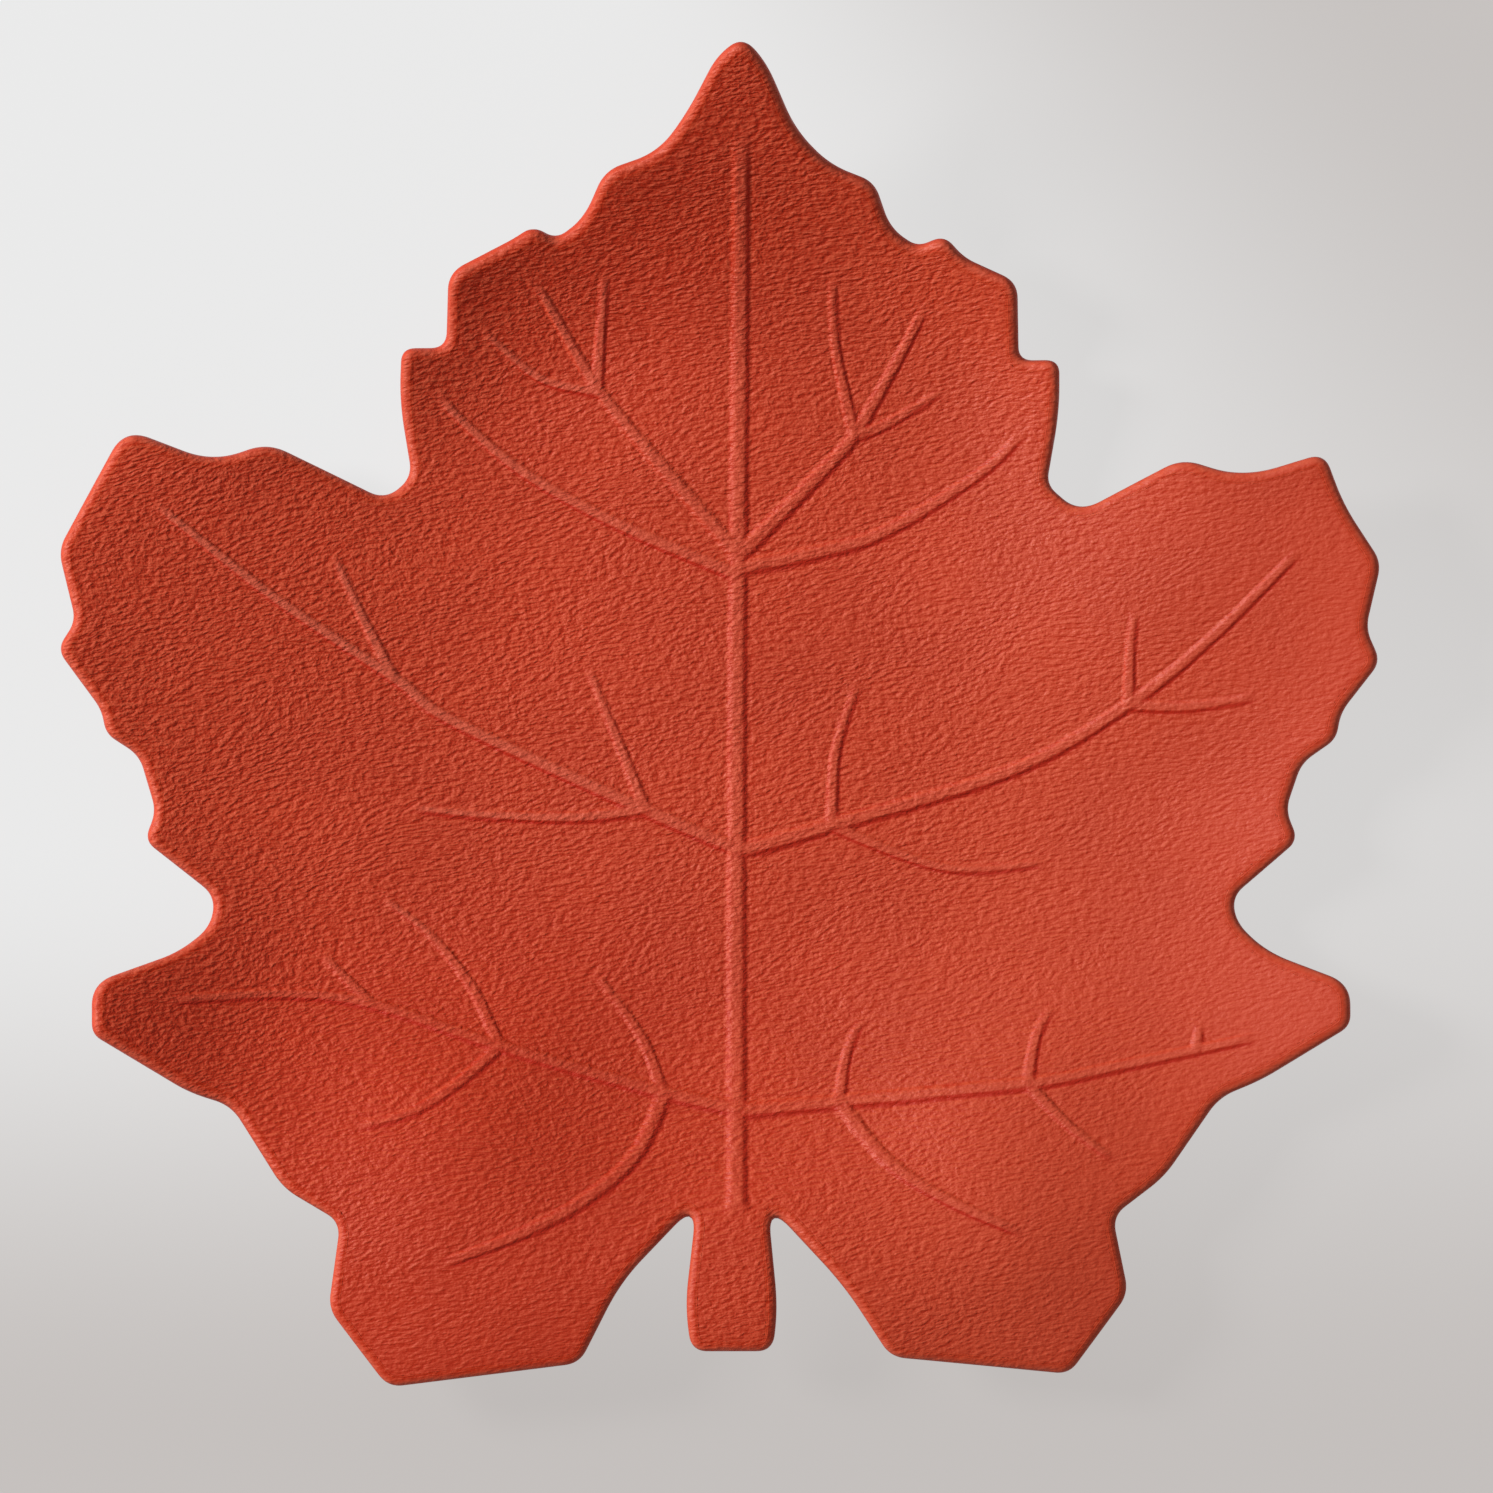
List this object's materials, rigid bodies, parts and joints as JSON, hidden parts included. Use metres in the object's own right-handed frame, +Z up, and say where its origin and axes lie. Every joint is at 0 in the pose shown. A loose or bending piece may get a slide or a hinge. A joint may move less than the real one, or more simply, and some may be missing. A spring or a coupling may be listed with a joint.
{
  "type": "leaf dish",
  "caption": "Shallow dish in the outline of a maple leaf, pressed from bonded leather with raised veins, upturned lobes and a rounded painted edge, for holding jewellery and small things.",
  "frame": {"origin": "on the table, under the middle of the dish's box", "axes": "+Y from the stem to the leaf's tip, +X to the right of the leaf seen from above, +Z up"},
  "size_m": [0.2188, 0.2244, 0.0354],
  "materials": {
    "lining_leather": "fine matt nap, brick red",
    "stiffener_board": "plain pulp board",
    "face_leather": "wrinkled pebble grain, satin, red-orange",
    "edge_paint": "smooth rounded edge paint, satin, red-orange"
  },
  "bodies": {
    "root": {"lining_leather": "lining_leather", "stiffener_board": "stiffener_board", "face_leather": "face_leather", "edge_paint": "edge_paint"}
  },
  "joints": []
}
